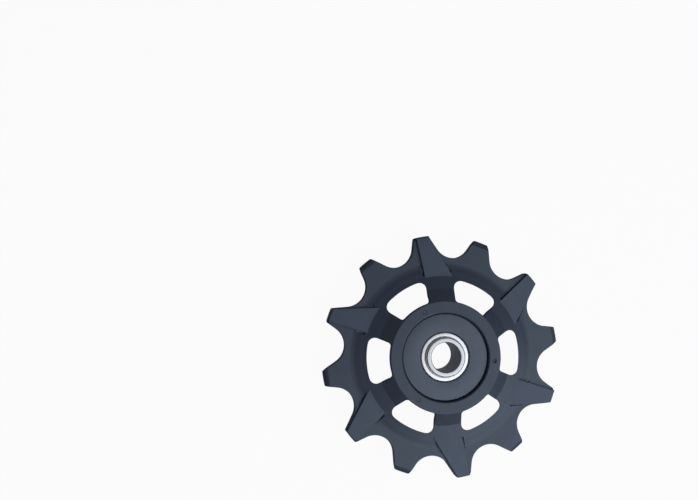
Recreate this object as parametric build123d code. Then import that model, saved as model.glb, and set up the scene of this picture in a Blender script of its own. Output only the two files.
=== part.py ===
from build123d import *
import os
from math import cos, hypot, pi, radians, sin, tan

# Derailleur jockey wheel with narrow and wide teeth, in millimetres.
# It spins about Z. The origin is the wheel's centre, halfway through its teeth, and the side with
# the raised hub flange faces up. The middle of one wide tooth points along +Y.

# Chain and teeth
tooth_count = 12
chain_pitch = 12.7
roller_seat_radius = 4.05
lead_flank_angle = 25.0
trail_flank_angle = 15.0
tip_radius = 25.1
narrow_tooth_thickness = 2.0
wide_tooth_thickness = 3.3
tip_corner_round = 0.3
narrow_tip_round = 0.6
wide_tip_round = 0.35

# Raised pads of the wide teeth, placed where they cross the pad gauge radius
pad_gauge_radius = 22.0
pad_lead_offset = 2.35
pad_lead_angle = 22.0
pad_trail_offset = 1.32
pad_trail_angle = 3.4
pad_draft = 6.0
relief_width = 0.35
relief_depth = 0.1
relief_inset = 0.4
relief_run = 0.6

# Front of the web: a shallow ramp from the tooth ring, then a steep cone up to the hub flange
root_land = 1.685
ramp_inner_radius = 14.0
ramp_angle = 16.6
ramp_foot_round = 0.8
ramp_top_round = 0.8
flange_radius = 11.4
flange_height = 4.2
flange_edge_round = 0.25

# Back of the web: a dish that leaves a wall of even thickness
web_thickness = 1.3
dish_rim_radius = 17.2
dish_wall_angle = 48.0
dish_ridge_radius = 11.0

# Windows and spokes
spoke_count = 6
spoke_lag = 6.65
spoke_width = 5.5
spoke_width_radius = 12.5
spoke_flare_angle = 11.0
window_outer_radius = 16.0
window_step = 0.08
window_outer_round = 1.4
window_inner_round = 0.7
window_draft = 20.0

# Hub
boss_wall = 1.25
boss_length = 4.0
cap_seat_margin = 1.05
rear_cap_seat_margin = 0.45
gate_count = 3
gate_mark_radius = 10.2
gate_mark_diameter = 0.8
gate_mark_depth = 0.35
gate_lag = 7.2

# Bearing and sleeve
bearing_bore = 8.0
bearing_diameter = 16.0
bearing_width = 6.0
ball_count = 9
ball_diameter = 2.381
ball_clearance = 0.03
groove_conformity = 0.53
inner_land_height = 1.2
outer_land_height = 1.2
seal_shoulder_height = 0.9
seal_depth = 0.2
seal_thickness = 0.4
seal_lip_clearance = 0.05
ring_corner = 0.2
inner_ring_proud = 0.1
cage_side_clearance = 0.2
cage_back = 0.45
cage_front_reach = 0.5
cage_pocket_clearance = 0.06
sleeve_length = 8.2
sleeve_bore = 6.1
sleeve_bore_chamfer = 0.35
sleeve_outer_chamfer = 0.15

# Dust caps
cap_thickness = 0.35
cap_hole_diameter = 10.0
cap_bevel_width = 0.3
cap_bevel_depth = 0.2

# Derived sizes
pitch_radius = chain_pitch / 2 / sin(pi / tooth_count)
tooth_step = 360 / tooth_count
wide_count = tooth_count // 2
narrow_half = narrow_tooth_thickness / 2
wide_half = wide_tooth_thickness / 2
spoke_step = 360 / spoke_count
first_wide_tooth = 90.0
first_spoke = first_wide_tooth - spoke_lag
root_radius = pitch_radius - roller_seat_radius
ramp_outer_radius = root_radius - root_land
ramp_top = narrow_half + (ramp_outer_radius - ramp_inner_radius) * tan(radians(ramp_angle))
ring_join_radius = root_radius - root_land / 2
pad_end_radius = ramp_outer_radius - (wide_half - narrow_half) / tan(radians(ramp_angle))
relief_inner_radius = pad_end_radius + relief_inset
relief_outer_radius = ramp_outer_radius + relief_run
window_inner_radius = flange_radius + window_step
window_front = narrow_half + (ramp_outer_radius - window_outer_radius) * tan(radians(ramp_angle))
bore_radius = bearing_bore / 2
seat_radius = bearing_diameter / 2
bearing_half = bearing_width / 2
boss_radius = seat_radius + boss_wall
cap_seat_radius = seat_radius + cap_seat_margin
rear_cap_seat_radius = seat_radius + rear_cap_seat_margin
ball_radius = ball_diameter / 2
ball_ring_radius = (bore_radius + seat_radius) / 2
groove_radius = ball_diameter * groove_conformity
inner_land_radius = bore_radius + inner_land_height
outer_land_radius = seat_radius - outer_land_height
inner_shoulder_radius = bore_radius + seal_shoulder_height
outer_shoulder_radius = seat_radius - seal_shoulder_height
seal_outer_face = bearing_half - seal_depth
seal_inner_face = seal_outer_face - seal_thickness


# How near a corner lies to the circle that it is picked by
match = 0.001


def turned(points, rounds=()):
    """Solid of revolution about Z from (radius, height) points, with some corners rounded."""
    section = make_face(Polyline(*points, close=True))
    for corner, radius in rounds:
        section = fillet(section.vertices().sort_by_distance((*corner, 0))[0], radius)
    return revolve(Plane.XZ * section, Axis.Z)


def around(shape, count, first_angle):
    """Copies of a shape at equal steps round Z, the first one turned by first_angle."""
    return [Rot(0, 0, first_angle + index * 360 / count) * shape for index in range(count)]


def polar(radius, angle):
    return (radius * cos(radians(angle)), radius * sin(radians(angle)))


def roller_seat():
    """Flat shape of one tooth gap on the X axis: the roller seat and the two flanks leaving it."""
    flank_reach = 2 * roller_seat_radius
    lead_lean = tooth_step / 2 + lead_flank_angle
    trail_lean = -tooth_step / 2 - trail_flank_angle
    lead_start = Vector(polar(roller_seat_radius, lead_lean + 90))
    trail_start = Vector(polar(roller_seat_radius, trail_lean - 90))
    lead_end = lead_start + Vector(polar(flank_reach, lead_lean))
    trail_end = trail_start + Vector(polar(flank_reach, trail_lean))
    opening = make_face(Polyline(lead_start, lead_end, trail_end, trail_start, close=True))
    return Pos(pitch_radius, 0) * (Circle(roller_seat_radius) + opening)


def tooth_outline():
    """Flat outline of the toothed ring, filled."""
    outline = Circle(tip_radius) - around(roller_seat(), tooth_count, first_wide_tooth + tooth_step / 2)
    tips = [v for v in outline.vertices() if hypot(v.X, v.Y) > tip_radius - match]
    return fillet(tips, tip_corner_round)


def tip_crown(half_thickness, edge_round):
    """Disc as wide as the tooth tips, with its rim rounded on both faces."""
    return turned(
        [
            (0, -half_thickness),
            (tip_radius, -half_thickness),
            (tip_radius, half_thickness),
            (0, half_thickness),
        ],
        [((tip_radius, -half_thickness), edge_round), ((tip_radius, half_thickness), edge_round)],
    )


def lead_edge(along):
    """Where the pad on the X axis ends sideways on its leading side, at a distance along X."""
    return -pad_lead_offset + (along - pad_gauge_radius) * tan(radians(pad_lead_angle))


def trail_edge(along):
    return pad_trail_offset + (along - pad_gauge_radius) * tan(radians(pad_trail_angle))


def wide_tooth_pad():
    """Raised pad of the wide tooth on the X axis, on both faces, with drafted side walls."""
    inner = ramp_inner_radius
    outer = tip_radius + wide_half
    top = make_face(Polyline(
        (inner, lead_edge(inner)),
        (outer, lead_edge(outer)),
        (outer, trail_edge(outer)),
        (inner, trail_edge(inner)),
        close=True,
    ))
    spread = wide_half * tan(radians(pad_draft))
    foot = offset(top, spread, kind=Kind.INTERSECTION)
    upper = extrude(foot, wide_half, taper=pad_draft)
    return upper + mirror(upper, Plane.XY)


def pad_reliefs():
    """Two short grooves at the foot of the pad on the X axis, as cutters: they end the ramp beside it."""
    foot_gap = (wide_half - narrow_half) * tan(radians(pad_draft))
    floor = narrow_half - relief_depth
    cutters = []
    for edge, side in ((lead_edge, -1), (trail_edge, 1)):
        near = side * foot_gap
        far = side * (foot_gap + relief_width)
        strip = make_face(Polyline(
            (relief_inner_radius, edge(relief_inner_radius) + near),
            (relief_outer_radius, edge(relief_outer_radius) + near),
            (relief_outer_radius, edge(relief_outer_radius) + far),
            (relief_inner_radius, edge(relief_inner_radius) + far),
            close=True,
        ))
        cutters.append(Pos(0, 0, floor) * extrude(strip, wide_half))
    return cutters


def web_and_hub():
    """Hub flange, cone and ramp as one turned blank, still solid behind the web."""
    blank_radius = (boss_radius + dish_rim_radius) / 2
    return turned(
        [
            (seat_radius, -bearing_half),
            (seat_radius, bearing_half),
            (cap_seat_radius, bearing_half),
            (cap_seat_radius, flange_height),
            (flange_radius, flange_height),
            (ramp_inner_radius, ramp_top),
            (ramp_outer_radius, narrow_half),
            (ring_join_radius, narrow_half),
            (ring_join_radius, -narrow_half),
            (blank_radius, -narrow_half),
            (blank_radius, -boss_length),
            (rear_cap_seat_radius, -boss_length),
            (rear_cap_seat_radius, -bearing_half),
        ],
        [
            ((flange_radius, flange_height), flange_edge_round),
            ((cap_seat_radius, flange_height), flange_edge_round),
            ((ramp_inner_radius, ramp_top), ramp_top_round),
            ((ramp_outer_radius, narrow_half), ramp_foot_round),
        ],
    )


def rear_dish():
    """The hollow behind the web, as a cutter: it leaves the bearing boss and an even wall."""
    wall_slope = tan(radians(dish_wall_angle))
    ramp_slope = tan(radians(ramp_angle))
    ramp_back = ramp_top - web_thickness
    wall_rise = dish_rim_radius * wall_slope - narrow_half
    floor_radius = (wall_rise - ramp_back - ramp_inner_radius * ramp_slope) / (wall_slope - ramp_slope)
    floor_height = wall_rise - floor_radius * wall_slope
    ridge_height = flange_height - web_thickness
    below = boss_length + wide_half
    return turned([
        (boss_radius, -below),
        (dish_rim_radius + (below - narrow_half) / wall_slope, -below),
        (floor_radius, floor_height),
        (ramp_inner_radius, ramp_back),
        (dish_ridge_radius, ridge_height),
        (boss_radius, ridge_height - (dish_ridge_radius - boss_radius)),
    ])


def windows():
    """The six openings between the spokes, as cutters through the web, drafted towards the back."""
    flare = tan(radians(spoke_flare_angle / 2))

    def half_width(radius):
        return spoke_width / 2 + (radius - spoke_width_radius) * flare

    near = seat_radius
    far = window_outer_radius + spoke_width
    bar = make_face(Polyline(
        (near, -half_width(near)),
        (far, -half_width(far)),
        (far, half_width(far)),
        (near, half_width(near)),
        close=True,
    ))
    ring = Circle(window_outer_radius) - Circle(window_inner_radius)
    slots = ring - around(bar, spoke_count, first_spoke)
    mean_radius = (window_inner_radius + window_outer_radius) / 2
    outer_corners = [v for v in slots.vertices() if hypot(v.X, v.Y) > mean_radius]
    slots = fillet(outer_corners, window_outer_round)
    inner_corners = [v for v in slots.vertices() if hypot(v.X, v.Y) < window_inner_radius + match]
    slots = Pos(0, 0, window_front) * fillet(inner_corners, window_inner_round)
    straight = extrude(slots, flange_height)
    drafted = extrude(slots, window_front + wide_half, dir=(0, 0, -1), taper=-window_draft)
    return straight + drafted


def wheel_body():
    """The moulding: toothed ring, pads, web and hub in one piece."""
    outline = tooth_outline()
    toothed_disc = extrude(outline, narrow_half, both=True) & tip_crown(narrow_half, narrow_tip_round)
    toothed_ring = toothed_disc - Cylinder(ring_join_radius, wide_tooth_thickness)
    pad_limit = extrude(outline, wide_half, both=True) & tip_crown(wide_half, wide_tip_round)
    pads = [pad & pad_limit for pad in around(wide_tooth_pad(), wide_count, first_wide_tooth)]
    reliefs = [copy for cutter in pad_reliefs() for copy in around(cutter, wide_count, first_wide_tooth)]
    body = toothed_ring + web_and_hub() + pads - rear_dish() - windows() - reliefs
    gate_mark = Pos(gate_mark_radius, 0, flange_height) * Cylinder(gate_mark_diameter / 2, 2 * gate_mark_depth)
    first_gate = first_spoke + spoke_step / 2 - gate_lag
    return body - around(gate_mark, gate_count, first_gate)


def bearing_ring(bore, land, shoulder, half_width, groove_middle, corner_at_bore):
    """One ring of the ball bearing: land with ball groove, and a stepped shoulder for the seals."""
    step = seal_inner_face
    cut = ring_corner if corner_at_bore > 0 else -ring_corner
    ring = turned([
        (bore + cut, -half_width),
        (shoulder, -half_width),
        (shoulder, -step),
        (land, -step),
        (land, step),
        (shoulder, step),
        (shoulder, half_width),
        (bore + cut, half_width),
        (bore, half_width - ring_corner),
        (bore, -half_width + ring_corner),
    ])
    return ring - Torus(groove_middle, groove_radius)


def bearing_inner_ring():
    middle = ball_ring_radius - ball_radius - ball_clearance + groove_radius
    half_width = bearing_half + inner_ring_proud
    return bearing_ring(bore_radius, inner_land_radius, inner_shoulder_radius, half_width, middle, 1)


def bearing_outer_ring():
    middle = ball_ring_radius + ball_radius + ball_clearance - groove_radius
    return bearing_ring(seat_radius, outer_land_radius, outer_shoulder_radius, bearing_half, middle, -1)


def bearing_ball():
    return Pos(ball_ring_radius, 0, 0) * Sphere(ball_radius)


def bearing_cage():
    """Crown cage: a ring with a round pocket for each ball, open on its front side."""
    inner = inner_land_radius + cage_side_clearance
    outer = outer_land_radius - cage_side_clearance
    pocket_radius = ball_radius + cage_pocket_clearance
    back = -pocket_radius - cage_back
    ring = turned([(inner, back), (outer, back), (outer, cage_front_reach), (inner, cage_front_reach)])
    pocket = Pos(ball_ring_radius, 0, 0) * Sphere(pocket_radius)
    return ring - around(pocket, ball_count, 0)


def seal():
    """Front seal of the bearing, held by the outer ring, its lip just clear of the inner ring."""
    lip = inner_shoulder_radius + seal_lip_clearance
    return turned([
        (lip, seal_inner_face),
        (outer_shoulder_radius, seal_inner_face),
        (outer_shoulder_radius, seal_outer_face),
        (lip, seal_outer_face),
    ])


def dust_cap(rim_radius):
    """Ring pressed in over the front of the bearing, with a bevelled rim."""
    hole = cap_hole_diameter / 2
    top = bearing_half + cap_thickness
    return turned([
        (hole, bearing_half),
        (rim_radius, bearing_half),
        (rim_radius, top - cap_bevel_depth),
        (rim_radius - cap_bevel_width, top),
        (hole, top),
    ])


def axle_sleeve():
    half = sleeve_length / 2
    bore = sleeve_bore / 2
    return turned([
        (bore, -half + sleeve_bore_chamfer),
        (bore + sleeve_bore_chamfer, -half),
        (bore_radius - sleeve_outer_chamfer, -half),
        (bore_radius, -half + sleeve_outer_chamfer),
        (bore_radius, half - sleeve_outer_chamfer),
        (bore_radius - sleeve_outer_chamfer, half),
        (bore + sleeve_bore_chamfer, half),
        (bore, half - sleeve_bore_chamfer),
    ])


parts = {
    "wheel_body": wheel_body(),
    "front_dust_cap": dust_cap(cap_seat_radius),
    "rear_dust_cap": mirror(dust_cap(rear_cap_seat_radius), Plane.XY),
    "bearing_outer_ring": bearing_outer_ring(),
    "bearing_inner_ring": bearing_inner_ring(),
    "bearing_cage": bearing_cage(),
    "front_seal": seal(),
    "rear_seal": mirror(seal(), Plane.XY),
    "axle_sleeve": axle_sleeve(),
}
for number, ball in enumerate(around(bearing_ball(), ball_count, 0), start=1):
    parts[f"bearing_ball_{number}"] = ball

os.makedirs("parts", exist_ok=True)
for name, solid in parts.items():
    export_step(solid, f"parts/{name}.step")
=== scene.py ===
import math

import bmesh
import bpy
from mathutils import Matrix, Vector


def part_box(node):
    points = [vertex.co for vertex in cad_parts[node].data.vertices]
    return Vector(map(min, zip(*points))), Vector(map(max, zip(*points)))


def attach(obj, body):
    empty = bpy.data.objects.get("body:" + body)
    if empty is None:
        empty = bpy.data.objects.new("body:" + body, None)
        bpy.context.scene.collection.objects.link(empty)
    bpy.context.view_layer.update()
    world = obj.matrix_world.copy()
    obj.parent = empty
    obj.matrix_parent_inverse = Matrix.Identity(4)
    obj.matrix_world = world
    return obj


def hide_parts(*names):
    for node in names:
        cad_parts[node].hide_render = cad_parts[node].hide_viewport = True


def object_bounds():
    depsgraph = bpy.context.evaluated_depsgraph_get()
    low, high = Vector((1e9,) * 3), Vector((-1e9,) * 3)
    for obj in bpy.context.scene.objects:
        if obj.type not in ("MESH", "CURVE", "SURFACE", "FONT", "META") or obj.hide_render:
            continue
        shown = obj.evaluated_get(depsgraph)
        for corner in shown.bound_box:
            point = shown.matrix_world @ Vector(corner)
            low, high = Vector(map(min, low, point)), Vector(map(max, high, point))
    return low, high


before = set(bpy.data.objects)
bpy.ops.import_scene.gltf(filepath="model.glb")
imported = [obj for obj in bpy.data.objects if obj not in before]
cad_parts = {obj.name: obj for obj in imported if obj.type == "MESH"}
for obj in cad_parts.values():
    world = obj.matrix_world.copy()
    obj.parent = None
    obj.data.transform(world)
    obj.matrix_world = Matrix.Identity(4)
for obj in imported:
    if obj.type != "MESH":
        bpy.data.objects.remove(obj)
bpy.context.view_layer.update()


# Axle sleeve: the plain steel bush that the mounting bolt passes through. It is turned from bar, and its
# ends are faced and chamfered, with a dark line of painted shade along the outer edge. It is pressed into
# the bearing's inner ring and stands out at both ends. Its outer wall carries painted light and its bore
# painted shade.

MM = 0.001


def add_node(tree, kind, settings=None, sockets=None):
    """Adds a node: its settings first, then the values or links of its sockets."""
    made = tree.nodes.new(kind)
    for name, value in (settings or {}).items():
        setattr(made, name, value)
    for key, value in (sockets or {}).items():
        link = getattr(value, "socket", value)
        if isinstance(link, bpy.types.NodeSocket):
            tree.links.new(link, made.inputs[key])
        else:
            made.inputs[key].default_value = value
    return made


class Signal:
    """A shader socket that plain expressions can add to, multiply and so on."""

    def __init__(self, socket):
        self.socket = socket
        self.tree = socket.id_data

    def node(self, kind, settings=None, sockets=None, output=0):
        """What a new node in the same tree gives out."""
        return Signal(add_node(self.tree, kind, settings, sockets).outputs[output])

    def math(self, operation, *values):
        return self.node("ShaderNodeMath", {"operation": operation}, dict(enumerate(values)))

    def __add__(self, other):
        return self.math("ADD", self, other)

    def __radd__(self, other):
        return self.math("ADD", other, self)

    def __sub__(self, other):
        return self.math("SUBTRACT", self, other)

    def __rsub__(self, other):
        return self.math("SUBTRACT", other, self)

    def __mul__(self, other):
        return self.math("MULTIPLY", self, other)

    def __rmul__(self, other):
        return self.math("MULTIPLY", other, self)

    def blend(self, other, share):
        """This share of the value, and the rest from another one."""
        return share * self + (1 - share) * other

    def swing(self, width):
        """Runs over this width, half below zero and half above, as the value goes from 0 to 1."""
        return width * (self - 0.5)

    def parts(self):
        """The three values of a vector."""
        split = add_node(self.tree, "ShaderNodeSeparateXYZ", {}, {0: self})
        return [Signal(socket) for socket in split.outputs]

    def noise(self, scale, detail=2.0, roughness=0.5):
        """Cloudy values from 0 to 1 at this place."""
        return self.node(
            "ShaderNodeTexNoise",
            {"noise_dimensions": "3D"},
            {"Vector": self, "Scale": scale, "Detail": detail, "Roughness": roughness},
        )

    def tint(self, low, high):
        """Colour from low to high as this value goes from 0 to 1."""
        ends = [end if isinstance(end, Signal) else (*end, 1.0) for end in (low, high)]
        return self.node("ShaderNodeMix", {"data_type": "RGBA"}, {0: self, 6: ends[0], 7: ends[1]}, output=2)

    def step(self, low, high):
        """0 at low, 1 at high and a smooth rise between them."""
        smooth = {"interpolation_type": "SMOOTHSTEP"}
        return self.node("ShaderNodeMapRange", smooth, {0: self, 1: low, 2: high})

    def bump(self, depth_mm):
        """Normal that follows this value as a height, depth_mm from 0 to 1."""
        return self.node("ShaderNodeBump", {}, {"Height": self, "Strength": 1.0, "Distance": depth_mm * MM})


class Finish:
    """A material with one main shader, and where a point lies on the piece in millimetres."""

    def __init__(self, name, **plain):
        self.material = bpy.data.materials.new(name)
        self.material.use_nodes = True
        self.tree = self.material.node_tree
        self.shader = self.tree.nodes["Principled BSDF"]
        for socket, value in plain.items():
            self.shader.inputs[socket.replace("_", " ")].default_value = value
        texture = add_node(self.tree, "ShaderNodeTexCoord").outputs
        metres = Signal(texture["Object"])
        self.facing = Signal(texture["Normal"])
        self.place = metres.node("ShaderNodeVectorMath", {"operation": "SCALE"}, {0: metres, "Scale": 1 / MM})
        self.x, self.y, self.height = self.place.parts()
        across = self.x * self.x + self.y * self.y
        self.radius = across.math("SQRT", across)
        self.angle = self.y.math("ARCTAN2", self.y, self.x)

    def feed(self, **signals):
        for socket, signal in signals.items():
            self.tree.links.new(signal.socket, self.shader.inputs[socket.replace("_", " ")])

    def cover(self, share, other):
        """Puts another shader over the main one by a share from 0 to 1."""
        mixed = share.node("ShaderNodeMixShader", {}, {0: share, 1: Signal(self.shader.outputs[0]), 2: other})
        self.tree.links.new(mixed.socket, self.tree.nodes["Material Output"].inputs["Surface"])

    def streaks(self, spacing_mm, length):
        """Fine marks that run round Z: quick changes along the radius and height, slow ones round it."""
        across = self.radius * (1 / spacing_mm)
        upwards = self.height * (1 / spacing_mm)
        around = self.angle * (1 / length)
        stretched = self.place.node("ShaderNodeCombineXYZ", {}, {0: across, 1: upwards, 2: around})
        return stretched.noise(scale=1.0, detail=3.0, roughness=0.6)


def shape_tree(name, result, inputs):
    """A new geometry tree with named inputs, and the outputs that hand them on inside it."""
    tree = bpy.data.node_groups.new(name, "GeometryNodeTree")
    tree.is_modifier = True
    for label, kind in inputs.items():
        tree.interface.new_socket(label, in_out="INPUT", socket_type="NodeSocket" + kind)
    tree.interface.new_socket(result, in_out="OUTPUT", socket_type="NodeSocketGeometry")
    return tree, add_node(tree, "NodeGroupInput").outputs


def close_tree(tree, geometry, finish):
    """Ends a geometry tree: instances are made real, the finish is put on and the shape given out."""
    whole = add_node(tree, "GeometryNodeRealizeInstances", {}, {"Geometry": geometry})
    coated = add_node(
        tree,
        "GeometryNodeSetMaterial",
        {},
        {"Geometry": whole.outputs[0], "Material": finish},
    )
    add_node(tree, "NodeGroupOutput", {}, {0: coated.outputs[0]})


def made_mesh(name, carrier, tree, inputs):
    """The plain mesh that a geometry tree makes of a carrier mesh, as a new piece."""
    piece = bpy.data.objects.new(name, carrier)
    bpy.context.scene.collection.objects.link(piece)
    modifier = piece.modifiers.new(tree.name, "NODES")
    modifier.node_group = tree
    for socket in tree.interface.items_tree:
        if socket.name in inputs:
            modifier[socket.identifier] = inputs[socket.name]
    bpy.context.view_layer.update()
    evaluated = piece.evaluated_get(bpy.context.evaluated_depsgraph_get())
    mesh = bpy.data.meshes.new_from_object(evaluated)
    piece.modifiers.remove(modifier)
    piece.data = mesh
    mesh.name = name
    return piece


turning, given = shape_tree("turned ring", "Ring", {
    "Section": "Geometry",
    "Path Radius": "Float",
    "Segments": "Int",
    "Round Steps": "Int",
    "Finish": "Material",
})
corner_round = add_node(
    turning,
    "GeometryNodeInputNamedAttribute",
    {"data_type": "FLOAT"},
    {"Name": "corner_round"},
)
outline = add_node(turning, "GeometryNodeMeshToCurve", {}, {"Mesh": given["Section"]})
softened = add_node(
    turning,
    "GeometryNodeFilletCurve",
    {"mode": "POLY"},
    {
        "Curve": outline.outputs[0],
        "Count": given["Round Steps"],
        "Radius": corner_round.outputs[0],
        "Limit Radius": True,
    },
)
path = add_node(
    turning,
    "GeometryNodeCurvePrimitiveCircle",
    {"mode": "RADIUS"},
    {"Resolution": given["Segments"], "Radius": given["Path Radius"]},
)
swept = add_node(
    turning,
    "GeometryNodeCurveToMesh",
    {},
    {"Curve": path.outputs[0], "Profile Curve": softened.outputs[0]},
)
close_tree(turning, swept.outputs[0], given["Finish"])


def turned(name, corners, finish, segments=180, round_steps=4, crease=28.0):
    """A ring turned about Z, from (radius, height, round) corners of its section in millimetres."""
    path_radius = min(radius for radius, _, _ in corners)
    section = bpy.data.meshes.new(name + "_section")
    count = len(corners)
    section.from_pydata(
        [((radius - path_radius) * MM, -height * MM, 0.0) for radius, height, _ in corners],
        [(index, (index + 1) % count) for index in range(count)],
        [],
    )
    rounds = section.attributes.new("corner_round", "FLOAT", "POINT")
    rounds.data.foreach_set("value", [corner * MM for _, _, corner in corners])
    piece = made_mesh(name, section, turning, {
        "Path Radius": path_radius * MM,
        "Segments": segments,
        "Round Steps": round_steps,
        "Finish": finish.material,
    })
    shape = bmesh.new()
    shape.from_mesh(piece.data)
    bmesh.ops.recalc_face_normals(shape, faces=shape.faces)
    for face in shape.faces:
        face.smooth = True
    shape.to_mesh(piece.data)
    shape.free()
    piece.data.set_sharp_from_angle(angle=math.radians(crease))
    return piece


def span_of(node):
    """Outer radius, lowest and highest height of a round CAD node, in millimetres."""
    low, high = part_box(node)
    return high.x / MM, low.z / MM, high.z / MM


def radii_of(node, height=None, near=0.01):
    """Smallest and largest radius of a round CAD node, near one height or anywhere, in millimetres."""
    corners = [vertex.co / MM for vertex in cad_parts[node].data.vertices]
    radii = [math.hypot(c.x, c.y) for c in corners if height is None or abs(c.z - height) < near]
    return min(radii), max(radii)


sleeve_radius, sleeve_bottom, sleeve_top = span_of("axle_sleeve")
sleeve_bore = radii_of("axle_sleeve")[0]
sleeve_bore_chamfer = 0.14
sleeve_outer_chamfer = 0.12
sleeve_edge = 0.02
sleeve_bore_round = 0.08
bore_skin = 0.01
bore_fade = 0.08
wall_skin = 0.02
wall_fade = 0.06
rim_skin = 0.12
rim_fade = 0.16
steel_pale = (0.52, 0.53, 0.55)
steel_deep = (0.44, 0.45, 0.47)
# Painted shade: dark blue-grey for the bore wall inside the hole.
bore_painted_shade = (0.09, 0.12, 0.18)
# Painted light: near white for the outer wall, lifting the shade on it.
wall_painted_light = (0.90, 0.91, 0.93)
# Painted shade: a dark line along the outer edge of each end.
rim_painted_shade = (0.10, 0.105, 0.12)
sleeve_rough = 0.34
end_polish = 0.06
wall_rough = 0.18
sleeve_steel = Finish("sleeve_steel", Metallic=1.0)
marks = sleeve_steel.streaks(spacing_mm=0.06, length=1.2)
cloud = sleeve_steel.place.noise(scale=0.9, detail=3.0)
outside = sleeve_steel.radius.step(sleeve_bore + bore_skin, sleeve_bore + bore_fade)
wall = sleeve_steel.radius.step(sleeve_radius - wall_fade, sleeve_radius - wall_skin)
from_middle = sleeve_steel.height.math("ABSOLUTE", sleeve_steel.height)
at_end = from_middle.step(sleeve_top - rim_fade, sleeve_top - rim_skin)
rim = at_end * sleeve_steel.radius.step(sleeve_radius - rim_fade, sleeve_radius - rim_skin)
faced_steel = marks.blend(cloud, share=0.6).tint(steel_deep, steel_pale)
# Base colour: painted shade in the bore, painted light on the outer wall and a dark line of painted shade
# along the outer edge of each end.
sleeve_steel.feed(
    Base_Color=outside.tint(bore_painted_shade, rim.tint(wall.tint(faced_steel, wall_painted_light), rim_painted_shade)),
    Roughness=(
        sleeve_rough
        - end_polish * outside
        + wall_rough * wall
        + marks.swing(width=0.10)
        + cloud.swing(width=0.08)
    ),
    Normal=marks.bump(depth_mm=0.003),
)
sleeve = turned(
    "sleeve",
    [
        (sleeve_bore, sleeve_bottom + sleeve_bore_chamfer, sleeve_bore_round),
        (sleeve_bore + sleeve_bore_chamfer, sleeve_bottom, sleeve_bore_round),
        (sleeve_radius - sleeve_outer_chamfer, sleeve_bottom, sleeve_edge),
        (sleeve_radius, sleeve_bottom + sleeve_outer_chamfer, sleeve_edge),
        (sleeve_radius, sleeve_top - sleeve_outer_chamfer, sleeve_edge),
        (sleeve_radius - sleeve_outer_chamfer, sleeve_top, sleeve_edge),
        (sleeve_bore + sleeve_bore_chamfer, sleeve_top, sleeve_bore_round),
        (sleeve_bore, sleeve_top - sleeve_bore_chamfer, sleeve_bore_round),
    ],
    sleeve_steel,
)
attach(sleeve, "axle")
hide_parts("axle_sleeve")


# Bearing inner ring: ground bearing steel, a press fit on the sleeve. Its land carries the ball groove,
# and a lower shoulder on each side runs under the seal's lip. It stands a little proud of the outer ring.

ball_diameter = 2.381
ball_radius = ball_diameter / 2
ball_circle = 6.0
groove_radius = 1.25
groove_steps = 10
groove_play = 0.03
steel_edge = 0.06
ring_edge = 0.2
bore_edge = 0.25
sharp = 0.0
seal_low = 2.4
ground_pale = (0.77, 0.78, 0.80)
ground_deep = (0.69, 0.70, 0.72)
ground_rough = 0.36
bearing_steel = Finish("bearing_steel", Metallic=1.0)
marks = bearing_steel.streaks(spacing_mm=0.05, length=1.6)
cloud = bearing_steel.place.noise(scale=0.8, detail=3.0)
bearing_steel.feed(
    Base_Color=marks.blend(cloud, share=0.7).tint(ground_deep, ground_pale),
    Roughness=ground_rough + marks.swing(width=0.08) + cloud.swing(width=0.06),
    Normal=marks.bump(depth_mm=0.0015),
)


def groove(land, deepest):
    """Corners of a ball groove in a land, from below to above: an arc as deep as deepest."""
    bow = math.copysign(groove_radius, land - deepest)
    middle = deepest + bow
    half = math.acos(abs(land - middle) / groove_radius)
    turns = [half * (2 * step / groove_steps - 1) for step in range(groove_steps + 1)]
    return [(middle - bow * math.cos(turn), groove_radius * math.sin(turn), sharp) for turn in turns]


inner_bore = radii_of("bearing_inner_ring")[0]
inner_land, inner_bottom, inner_top = span_of("bearing_inner_ring")
inner_deepest = ball_circle - ball_radius - groove_play
inner_shoulder = radii_of("bearing_inner_ring", inner_top)[1]
inner_ring = turned(
    "bearing_inner_race",
    [
        (inner_bore, inner_bottom + bore_edge, sharp),
        (inner_bore + bore_edge, inner_bottom, steel_edge),
        (inner_shoulder, inner_bottom, steel_edge),
        (inner_shoulder, -seal_low, sharp),
        (inner_land, -seal_low, steel_edge),
        *groove(inner_land, inner_deepest),
        (inner_land, seal_low, steel_edge),
        (inner_shoulder, seal_low, sharp),
        (inner_shoulder, inner_top, steel_edge),
        (inner_bore + bore_edge, inner_top, steel_edge),
        (inner_bore, inner_top - bore_edge, sharp),
    ],
    bearing_steel,
)
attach(inner_ring, "axle")
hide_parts("bearing_inner_ring")


# Balls: nine hardened steel balls, ground and polished. They run between the two grooves, evenly spaced
# by the cage, and travel round with it.

ball_count = 9
ball_deep = (0.60, 0.605, 0.615)
ball_pale = (0.66, 0.665, 0.675)
ball_rough = 0.06
ball_haze = 0.05
ball_steel = Finish("ball_steel", Metallic=1.0)
cloud = ball_steel.place.noise(scale=1.5, detail=2.0)
ball_steel.feed(
    Base_Color=cloud.tint(ball_deep, ball_pale),
    Roughness=ball_rough + ball_haze * cloud,
)
ball_set, given = shape_tree("ball set", "Ball Set", {
    "Carrier": "Geometry",
    "Balls": "Int",
    "Ball Circle": "Float",
    "Ball Radius": "Float",
    "Finish": "Material",
})
places = add_node(
    ball_set,
    "GeometryNodeMeshCircle",
    {"fill_type": "NONE"},
    {"Vertices": given["Balls"], "Radius": given["Ball Circle"]},
)
ball = add_node(
    ball_set,
    "GeometryNodeMeshUVSphere",
    {},
    {"Segments": 40, "Rings": 20, "Radius": given["Ball Radius"]},
)
smooth_ball = add_node(ball_set, "GeometryNodeSetShadeSmooth", {}, {"Geometry": ball.outputs["Mesh"]})
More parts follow.
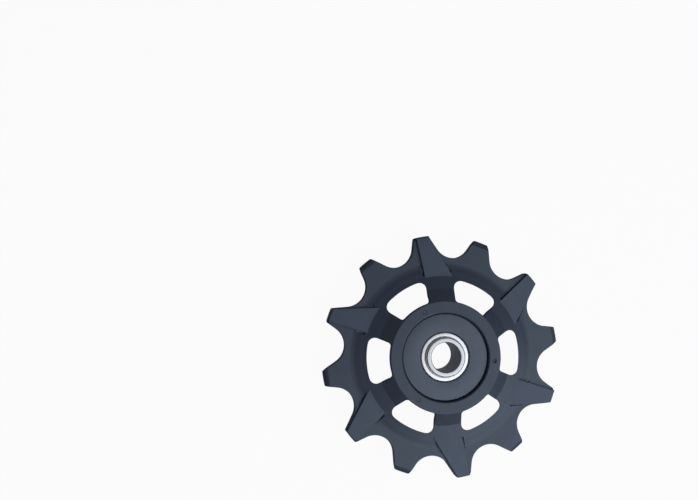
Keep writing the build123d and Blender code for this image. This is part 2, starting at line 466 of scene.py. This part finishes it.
placed = add_node(
    ball_set,
    "GeometryNodeInstanceOnPoints",
    {},
    {"Points": places.outputs["Mesh"], "Instance": smooth_ball.outputs[0]},
)
close_tree(ball_set, placed.outputs[0], given["Finish"])
balls = made_mesh("bearing_balls", bpy.data.meshes.new("ball_carrier"), ball_set, {
    "Balls": ball_count,
    "Ball Circle": ball_circle * MM,
    "Ball Radius": ball_radius * MM,
    "Finish": ball_steel.material,
})
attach(balls, "ball_train")
for number in range(1, ball_count + 1):
    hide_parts(f"bearing_ball_{number}")


# Cage: a crown of natural nylon, moulded in one piece, that snaps over the balls from behind and keeps
# them apart. The CAD solid shows as it is, with this finish on it.

cage_deep = (0.58, 0.52, 0.40)
cage_pale = (0.66, 0.60, 0.47)
cage_rough = 0.42
cage_nylon = Finish("cage_nylon", IOR=1.53)
cloud = cage_nylon.place.noise(scale=1.2, detail=3.0)
cage_nylon.feed(
    Base_Color=cloud.tint(cage_deep, cage_pale),
    Roughness=cage_rough + cloud.swing(width=0.12),
    Normal=cage_nylon.place.noise(scale=7.0).bump(depth_mm=0.004),
)
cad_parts["bearing_cage"].data.materials[0] = cage_nylon.material


# Bearing outer ring: the same ground steel as the inner ring, pressed into the wheel's hub. A step on
# each side holds the edge of a seal, and the land between them carries the other ball groove.

outer_radius, outer_bottom, outer_top = span_of("bearing_outer_ring")
outer_land = radii_of("bearing_outer_ring")[0]
outer_deepest = ball_circle + ball_radius + groove_play
outer_shoulder = radii_of("bearing_outer_ring", outer_top)[0]
outer_ring = turned(
    "bearing_outer_race",
    [
        (outer_radius, outer_top - ring_edge, sharp),
        (outer_radius - ring_edge, outer_top, steel_edge),
        (outer_shoulder, outer_top, steel_edge),
        (outer_shoulder, seal_low, sharp),
        (outer_land, seal_low, steel_edge),
        *reversed(groove(outer_land, outer_deepest)),
        (outer_land, -seal_low, steel_edge),
        (outer_shoulder, -seal_low, sharp),
        (outer_shoulder, outer_bottom, steel_edge),
        (outer_radius - ring_edge, outer_bottom, steel_edge),
        (outer_radius, outer_bottom + ring_edge, sharp),
    ],
    bearing_steel,
)
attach(outer_ring, "wheel")
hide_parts("bearing_outer_ring")


# Seals: black rubber moulded on a stiff ring. Each one snaps into the outer ring's step, and its lip
# runs just clear of the inner ring. A shallow trough lets the lip flex.

seal_edge = 0.08
seal_rim = 0.55
lip_width = 0.45
trough_depth = 0.12
trough_slope = 0.2
rubber_deep = (0.010, 0.010, 0.011)
rubber_pale = (0.018, 0.018, 0.019)
rubber_rough = 0.62
seal_rubber = Finish("seal_rubber", IOR=1.5)
cloud = seal_rubber.place.noise(scale=1.0, detail=3.0)
grain = seal_rubber.place.noise(scale=9.0)
seal_rubber.feed(
    Base_Color=cloud.tint(rubber_deep, rubber_pale),
    Roughness=rubber_rough + cloud.swing(width=0.16),
    Normal=grain.bump(depth_mm=0.004),
)
seal_outer, seal_bottom, seal_top = span_of("front_seal")
seal_lip = radii_of("front_seal")[0]
seal_corners = [
    (seal_lip, seal_bottom, seal_edge),
    (seal_outer, seal_bottom, seal_edge),
    (seal_outer, seal_top, seal_edge),
    (seal_outer - seal_rim, seal_top, seal_edge),
    (seal_outer - seal_rim - trough_slope, seal_top - trough_depth, seal_edge),
    (seal_lip + lip_width + trough_slope, seal_top - trough_depth, seal_edge),
    (seal_lip + lip_width, seal_top, seal_edge),
    (seal_lip, seal_top, seal_edge),
]
for node, side in (("front_seal", 1), ("rear_seal", -1)):
    corners = [(radius, side * height, edge) for radius, height, edge in seal_corners[::side]]
    rubber_seal = turned(node + "_rubber", corners, seal_rubber)
    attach(rubber_seal, "wheel")
    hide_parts(node)


# Moulded wheel: teeth, web and hub in one piece of black glass-filled nylon. The wide teeth carry raised
# pads, the narrow tips are chamfered with a soft start, the ramp to the hub rises from a soft foot, and
# small rounds ease every moulded edge.

nylon_dark = (0.029, 0.039, 0.067)
nylon_light = (0.038, 0.051, 0.085)
# A lighter colour for the tops of the raised pads than for the other faces.
pad_paler = (0.047, 0.062, 0.104)
flank_dark = (0.046, 0.061, 0.099)
flank_light = (0.057, 0.076, 0.124)
# Painted light: raised walls are painted paler, to lift the shade that falls on them.
raised_wall_painted_light = (0.083, 0.111, 0.180)
tip_pale = (0.052, 0.068, 0.103)
# Painted shade: near black for the open gate pit and its edge.
pit_painted_shade = (0.016, 0.020, 0.032)
nylon_rough = 0.44
flank_rough = 0.75
flank_ior = 1.3
grain_depth = 0.006
face_height = 1.0
raised_blur = 0.1
tip_radius = radii_of("wheel_body")[1]
tip_zone = 0.9
tip_blur = 0.1
pad_low = 1.3
pad_high = 1.5
pad_inner = 16.0
pad_outer = 18.0
flank_lean = 0.34
flank_full = 0.48
moulded_nylon = Finish("moulded_nylon", IOR=1.68, Specular_Tint=(0.75, 0.88, 1.0, 1.0))
grain = moulded_nylon.place.noise(scale=6.5, detail=2.0, roughness=0.6)
cloud = moulded_nylon.place.noise(scale=0.33, detail=3.0, roughness=0.55)
level = moulded_nylon.facing.parts()[2]
flank = (1 - level * level).step(flank_lean, flank_full)
# The tops of the raised pads get the lighter colour.
on_pads = moulded_nylon.height.step(pad_low, pad_high) * moulded_nylon.radius.step(pad_inner, pad_outer)
nylon_colour = on_pads.tint(cloud.blend(grain, share=0.75).tint(nylon_dark, nylon_light), pad_paler)

ramp_foot_radius = 18.8
ramp_slope = math.tan(math.radians(16.6))
foot_drawn = 0.117
foot_shown = 0.7
front_low = 0.0
front_full = 0.5
pad_side_low = 1.35
pad_side_high = 1.45
run = ramp_foot_radius - moulded_nylon.radius


def eased(reach):
    """Height of the ramp over the face, if its foot rises as a curve this far to either side."""
    curve = run.math("MINIMUM", run.math("MAXIMUM", run + reach, 0.0), 2 * reach)
    return ramp_slope / (4 * reach) * curve * curve + ramp_slope * run.math("MAXIMUM", run - reach, 0.0)


under_pads = 1 - moulded_nylon.height.step(pad_side_low, pad_side_high)
on_front = moulded_nylon.height.step(front_low, front_full) * under_pads * (1 - flank)
nylon_skin = (grain_depth * grain + on_front * (eased(foot_shown) - eased(foot_drawn))).bump(depth_mm=1.0)

gate_radius = 10.2
gate_height = 4.2
open_gate_angle = math.radians(346.15)
pit_shade_core = 0.50
pit_shade_reach = 0.68
pit_shade_middle = (gate_radius * math.cos(open_gate_angle), gate_radius * math.sin(open_gate_angle), gate_height)
from_pit_shade = moulded_nylon.place.node(
    "ShaderNodeVectorMath",
    {"operation": "DISTANCE"},
    {0: moulded_nylon.place, 1: pit_shade_middle},
    output=1,
)
# Painted shade in and around the open gate pit.
pit_shade = 1 - from_pit_shade.step(pit_shade_core, pit_shade_reach)
moulded_nylon.feed(
    Base_Color=pit_shade.tint(nylon_colour, pit_painted_shade),
    Roughness=nylon_rough + cloud.swing(width=0.12) + grain.swing(width=0.10),
    Normal=nylon_skin,
)
tip = moulded_nylon.radius.step(tip_radius - tip_zone - tip_blur, tip_radius - tip_zone)
raised = moulded_nylon.height.step(face_height, face_height + raised_blur)
# Flank colour, with raised walls painted paler as painted light.
flank_colour = tip.tint(raised.tint(cloud.tint(flank_dark, flank_light), raised_wall_painted_light), tip_pale)
matt_flank = flank.node(
    "ShaderNodeBsdfPrincipled",
    {},
    {"Base Color": flank_colour, "Roughness": flank_rough, "IOR": flank_ior, "Normal": nylon_skin},
)
moulded_nylon.cover(flank, matt_flank)

narrow_count = 6
chamfer_reach = 0.85
chamfer_drop = 0.75
chamfer_round = 1.2
chamfer_facets = 5
cut_reach = 2.5
cut_snap = 0.0001
merge_reach = 0.002
edge_round = 0.06
edge_steps = 2
crease_from = math.radians(9.0)
rounded_from = math.radians(30.0)
flat_within = math.radians(0.3)


def tip_planes():
    """Planes that chamfer both sides of the narrow teeth's tips: a point on each and the way out of it."""
    chamfer_angle = math.atan2(chamfer_drop, chamfer_reach)
    round_radius = tip_radius - chamfer_reach - chamfer_round * math.tan(chamfer_angle / 2)
    for tooth in range(narrow_count):
        turn = 2 * math.pi * tooth / narrow_count
        along = Vector((math.cos(turn), math.sin(turn), 0.0))
        for side in (1, -1):
            up = Vector((0.0, 0.0, side))
            middle = along * round_radius + up * (face_height - chamfer_round)
            for facet in range(1, chamfer_facets + 1):
                lean = chamfer_angle * facet / chamfer_facets
                outwards = along * math.sin(lean) + up * math.cos(lean)
                yield (middle + outwards * chamfer_round) * MM, outwards


def cut_away(shape, point, outwards, drawn_normal):
    """Cuts a shape near a point by a plane, and closes the cut with a face that looks outwards."""
    near = [vertex for vertex in shape.verts if (vertex.co - point).length < cut_reach * MM]
    faces = list(dict.fromkeys(face for vertex in near for face in vertex.link_faces))
    edges = list(dict.fromkeys(edge for face in faces for edge in face.edges))
    verts = list(dict.fromkeys(vertex for face in faces for vertex in face.verts))
    cut = bmesh.ops.bisect_plane(
        shape,
        geom=[*verts, *edges, *faces],
        dist=cut_snap * MM,
        plane_co=point,
        plane_no=outwards,
        clear_outer=True,
    )
    rim_edges = [edge for edge in cut["geom_cut"] if isinstance(edge, bmesh.types.BMEdge)]
    for face in bmesh.ops.holes_fill(shape, edges=rim_edges)["faces"]:
        face.smooth = True
        face.normal_update()
        if face.normal.dot(outwards) < 0:
            face.normal_flip()
        for corner in face.loops:
            corner[drawn_normal] = outwards


def mark_edges(shape, drawn_normal):
    """Marks the creases of a shape, and gives its sharp outer edges the weight for a round."""
    weight = shape.edges.layers.float.new("bevel_weight_edge")
    for edge in shape.edges:
        near, far = edge.link_loops
        turn = max(
            near[drawn_normal].angle(far.link_loop_next[drawn_normal]),
            near.link_loop_next[drawn_normal].angle(far[drawn_normal]),
        )
        edge.smooth = turn < crease_from
        if not edge.smooth and edge.is_convex and edge.calc_face_angle() > rounded_from:
            edge[weight] = 1.0


def dressed_copy(node, name, finish, cuts):
    """The CAD solid's mesh as a new piece: cut by planes, flat faces joined and sharp edges rounded."""
    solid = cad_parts[node].data
    mesh = solid.copy()
    mesh.name = name
    mesh.materials.clear()
    mesh.materials.append(finish.material)
    shape = bmesh.new()
    shape.from_mesh(mesh)
    drawn_normal = shape.loops.layers.float_vector.new("drawn_normal")
    corner_normals = iter(solid.corner_normals)
    for face in shape.faces:
        face.smooth = True
        for corner in face.loops:
            corner[drawn_normal] = next(corner_normals).vector
    bmesh.ops.remove_doubles(shape, verts=shape.verts, dist=merge_reach * MM)
    for point, outwards in cuts:
        cut_away(shape, point, outwards, drawn_normal)
    mark_edges(shape, drawn_normal)
    bmesh.ops.dissolve_limit(
        shape,
        angle_limit=flat_within,
        verts=shape.verts,
        edges=shape.edges,
        delimit={"SHARP"},
    )
    shape.loops.layers.float_vector.remove(drawn_normal)
    shape.to_mesh(mesh)
    shape.free()

    piece = bpy.data.objects.new(name, mesh)
    bpy.context.scene.collection.objects.link(piece)
    rounding = piece.modifiers.new("edge rounds", "BEVEL")
    rounding.width = edge_round * MM
    rounding.segments = edge_steps
    rounding.limit_method = "WEIGHT"
    rounding.use_clamp_overlap = False
    rounding.loop_slide = False
    rounded = piece.evaluated_get(bpy.context.evaluated_depsgraph_get())
    shape = bmesh.new()
    shape.from_mesh(rounded.data)
    bmesh.ops.dissolve_degenerate(shape, dist=merge_reach * MM, edges=shape.edges)
    needless = [vertex for vertex in shape.verts if len(vertex.link_edges) == 2]
    bmesh.ops.dissolve_verts(shape, verts=needless)
    piece.modifiers.remove(rounding)
    shape.to_mesh(mesh)
    shape.free()
    flatness = piece.modifiers.new("flat faces", "WEIGHTED_NORMAL")
    flatness.mode = "FACE_AREA"
    flatness.keep_sharp = True
    return piece


wheel = dressed_copy("wheel_body", "wheel_moulding", moulded_nylon, tip_planes())
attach(wheel, "wheel")
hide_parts("wheel_body")


# Gate stubs: the nylon is injected through three gates on the hub flange, each in a small pit. In two of
# the pits the broken end of the runner stays as a short stub; the third pit is open, and it and its edge
# are painted near black as painted shade.

gate_pit_radius = 0.4
gate_pit_floor = 3.85
stub_play = 0.03
stub_sunk = 0.02
stub_sides = 24
stub_heights = {106.15: 0.32, 226.15: 0.30}
gate_stubs, given = shape_tree("gate stubs", "Stubs", {
    "Gates": "Geometry",
    "Stub Radius": "Float",
    "Finish": "Material",
})
stub = add_node(
    gate_stubs,
    "GeometryNodeMeshCone",
    {"fill_type": "NGON"},
    {
        "Vertices": stub_sides,
        "Radius Top": given["Stub Radius"],
        "Radius Bottom": given["Stub Radius"],
        "Depth": 1.0,
    },
)
tallness = add_node(
    gate_stubs,
    "GeometryNodeInputNamedAttribute",
    {"data_type": "FLOAT"},
    {"Name": "tallness"},
)
stretch = add_node(
    gate_stubs,
    "ShaderNodeCombineXYZ",
    {},
    {"X": 1.0, "Y": 1.0, "Z": tallness.outputs[0]},
)
placed = add_node(
    gate_stubs,
    "GeometryNodeInstanceOnPoints",
    {},
    {"Points": given["Gates"], "Instance": stub.outputs["Mesh"], "Scale": stretch.outputs[0]},
)
close_tree(gate_stubs, placed.outputs[0], given["Finish"])
gates = bpy.data.meshes.new("gates")
gates.from_pydata(
    [
        (
            gate_radius * math.cos(math.radians(angle)) * MM,
            gate_radius * math.sin(math.radians(angle)) * MM,
            (gate_pit_floor - stub_sunk) * MM,
        )
        for angle in stub_heights
    ],
    [],
    [],
)
gate_tallness = gates.attributes.new("tallness", "FLOAT", "POINT")
gate_tallness.data.foreach_set("value", [tall * MM for tall in stub_heights.values()])
stubs = made_mesh("gate_stubs", gates, gate_stubs, {
    "Stub Radius": (gate_pit_radius - stub_play) * MM,
    "Finish": moulded_nylon.material,
})
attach(stubs, "wheel")


# Dust caps: thin rings of the same plastic, moulded apart and pressed in over both sides of the bearing.
# Their faces are smoother than the wheel's, the outer edge is bevelled and the hole's edge chamfered.

cap_bevel_width = 0.3
cap_bevel_depth = 0.2
cap_edge = 0.05
cap_hole_chamfer = 0.22
cap_dark = (0.034, 0.045, 0.075)
cap_light = (0.044, 0.058, 0.093)
cap_rough = 0.34
cap_plastic = Finish("cap_plastic", IOR=1.75, Specular_Tint=(0.75, 0.88, 1.0, 1.0))
grain = cap_plastic.place.noise(scale=9.0, detail=2.0)
cloud = cap_plastic.place.noise(scale=0.5, detail=3.0)
cap_plastic.feed(
    Base_Color=cloud.blend(grain, share=0.7).tint(cap_dark, cap_light),
    Roughness=cap_rough + cloud.swing(width=0.10) + grain.swing(width=0.06),
    Normal=grain.bump(depth_mm=0.003),
)
for node, side in (("front_dust_cap", 1), ("rear_dust_cap", -1)):
    rim_radius, low, high = span_of(node)
    hole = radii_of(node)[0]
    inside, face = sorted((low, high), key=abs)
    cap_corners = [
        (hole, face - side * cap_hole_chamfer, sharp),
        (hole, inside, cap_edge),
        (rim_radius, inside, cap_edge),
        (rim_radius, face - side * cap_bevel_depth, cap_edge),
        (rim_radius - cap_bevel_width, face, cap_edge),
        (hole + cap_hole_chamfer, face, cap_edge),
    ]
    dust_cap = turned(node + "_ring", cap_corners[::side], cap_plastic)
    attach(dust_cap, "wheel")
    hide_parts(node)


# Stage: a pale paper floor that the sleeve's end rests on, one large soft box at the lower right and a
# dim surround. The camera sees the floor and the surround as white, and metal mirrors some of that white.

floor_reach = 6.0
floor_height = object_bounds()[0].z
floor_corners = [
    (-floor_reach, -floor_reach, floor_height),
    (floor_reach, -floor_reach, floor_height),
    (floor_reach, floor_reach, floor_height),
    (-floor_reach, floor_reach, floor_height),
]
floor_mesh = bpy.data.meshes.new("floor")
floor_mesh.from_pydata(floor_corners, [], [range(len(floor_corners))])
floor = bpy.data.objects.new("floor", floor_mesh)
bpy.context.scene.collection.objects.link(floor)

white_share = 0.95
mirrored_share = 0.20


def seen_white(tree):
    """How white the stage looks: nearly all for the camera, a part for what metal and glass show of it."""
    rays = add_node(tree, "ShaderNodeLightPath").outputs
    mirrored = Signal(rays["Is Glossy Ray"]) + Signal(rays["Is Transmission Ray"])
    return white_share * Signal(rays["Is Camera Ray"]) + mirrored_share * mirrored


floor_paper = Finish(
    "floor_paper",
    Roughness=0.9,
    Specular_IOR_Level=0.0,
    Base_Color=(0.85, 0.85, 0.85, 1.0),
)
floor_white = seen_white(floor_paper.tree)
white = floor_white.node("ShaderNodeEmission", {}, {"Color": (1.0, 1.0, 1.0, 1.0), "Strength": 1.0})
floor_paper.cover(floor_white, white)
floor_mesh.materials.append(floor_paper.material)

lamp_azimuth = math.radians(-53.0)
lamp_tilt = math.radians(37.2)
lamp_distance = 0.30
lamp_size = 0.325
lamp_radiance = 1.58
lamp = bpy.data.lights.new("soft_box", "AREA")
lamp.shape = "SQUARE"
lamp.size = lamp_size
lamp.energy = lamp_radiance * math.pi * lamp_size * lamp_size
lamp.color = (0.96, 0.99, 1.05)
towards_lamp = Vector((
    math.sin(lamp_tilt) * math.cos(lamp_azimuth),
    math.sin(lamp_tilt) * math.sin(lamp_azimuth),
    math.cos(lamp_tilt),
))
soft_box = bpy.data.objects.new("soft_box", lamp)
soft_box.location = towards_lamp * lamp_distance
soft_box.rotation_euler = (-towards_lamp).to_track_quat("-Z", "Y").to_euler()
bpy.context.scene.collection.objects.link(soft_box)

glow_right = 0.77
glow_front = 0.64
glow_from = -0.1
glow_full = 0.6
glow_low = 0.10
glow_high = 0.30
surround_dim = (0.06, 0.06, 0.063)
surround_lit = (0.08, 0.08, 0.08)
studio = bpy.data.worlds.new("studio")
bpy.context.scene.world = studio
studio.use_nodes = True
direction = Signal(add_node(studio.node_tree, "ShaderNodeTexCoord").outputs["Generated"])
right, back, up = direction.parts()
lower_right = glow_right * right - glow_front * back
glow = lower_right.step(glow_from, glow_full) * (1 - up.step(glow_low, glow_high))
surround = seen_white(studio.node_tree).tint(glow.tint(surround_dim, surround_lit), (1.0, 1.0, 1.0))
studio.node_tree.links.new(surround.socket, studio.node_tree.nodes["Background"].inputs["Color"])

camera_data = bpy.data.cameras.new("camera")
camera_data.sensor_width = 36.0
camera_data.lens = 41.516
camera_data.clip_start = 0.01
camera_data.clip_end = 20.0
camera = bpy.data.objects.new("camera", camera_data)
camera.location = (-0.0383061, 0.0210604, 0.1646077)
camera.rotation_euler = (0.0447281, -0.1318321, -0.1639843)
bpy.context.scene.collection.objects.link(camera)
bpy.context.scene.camera = camera
bpy.context.scene.view_settings.view_transform = "Standard"
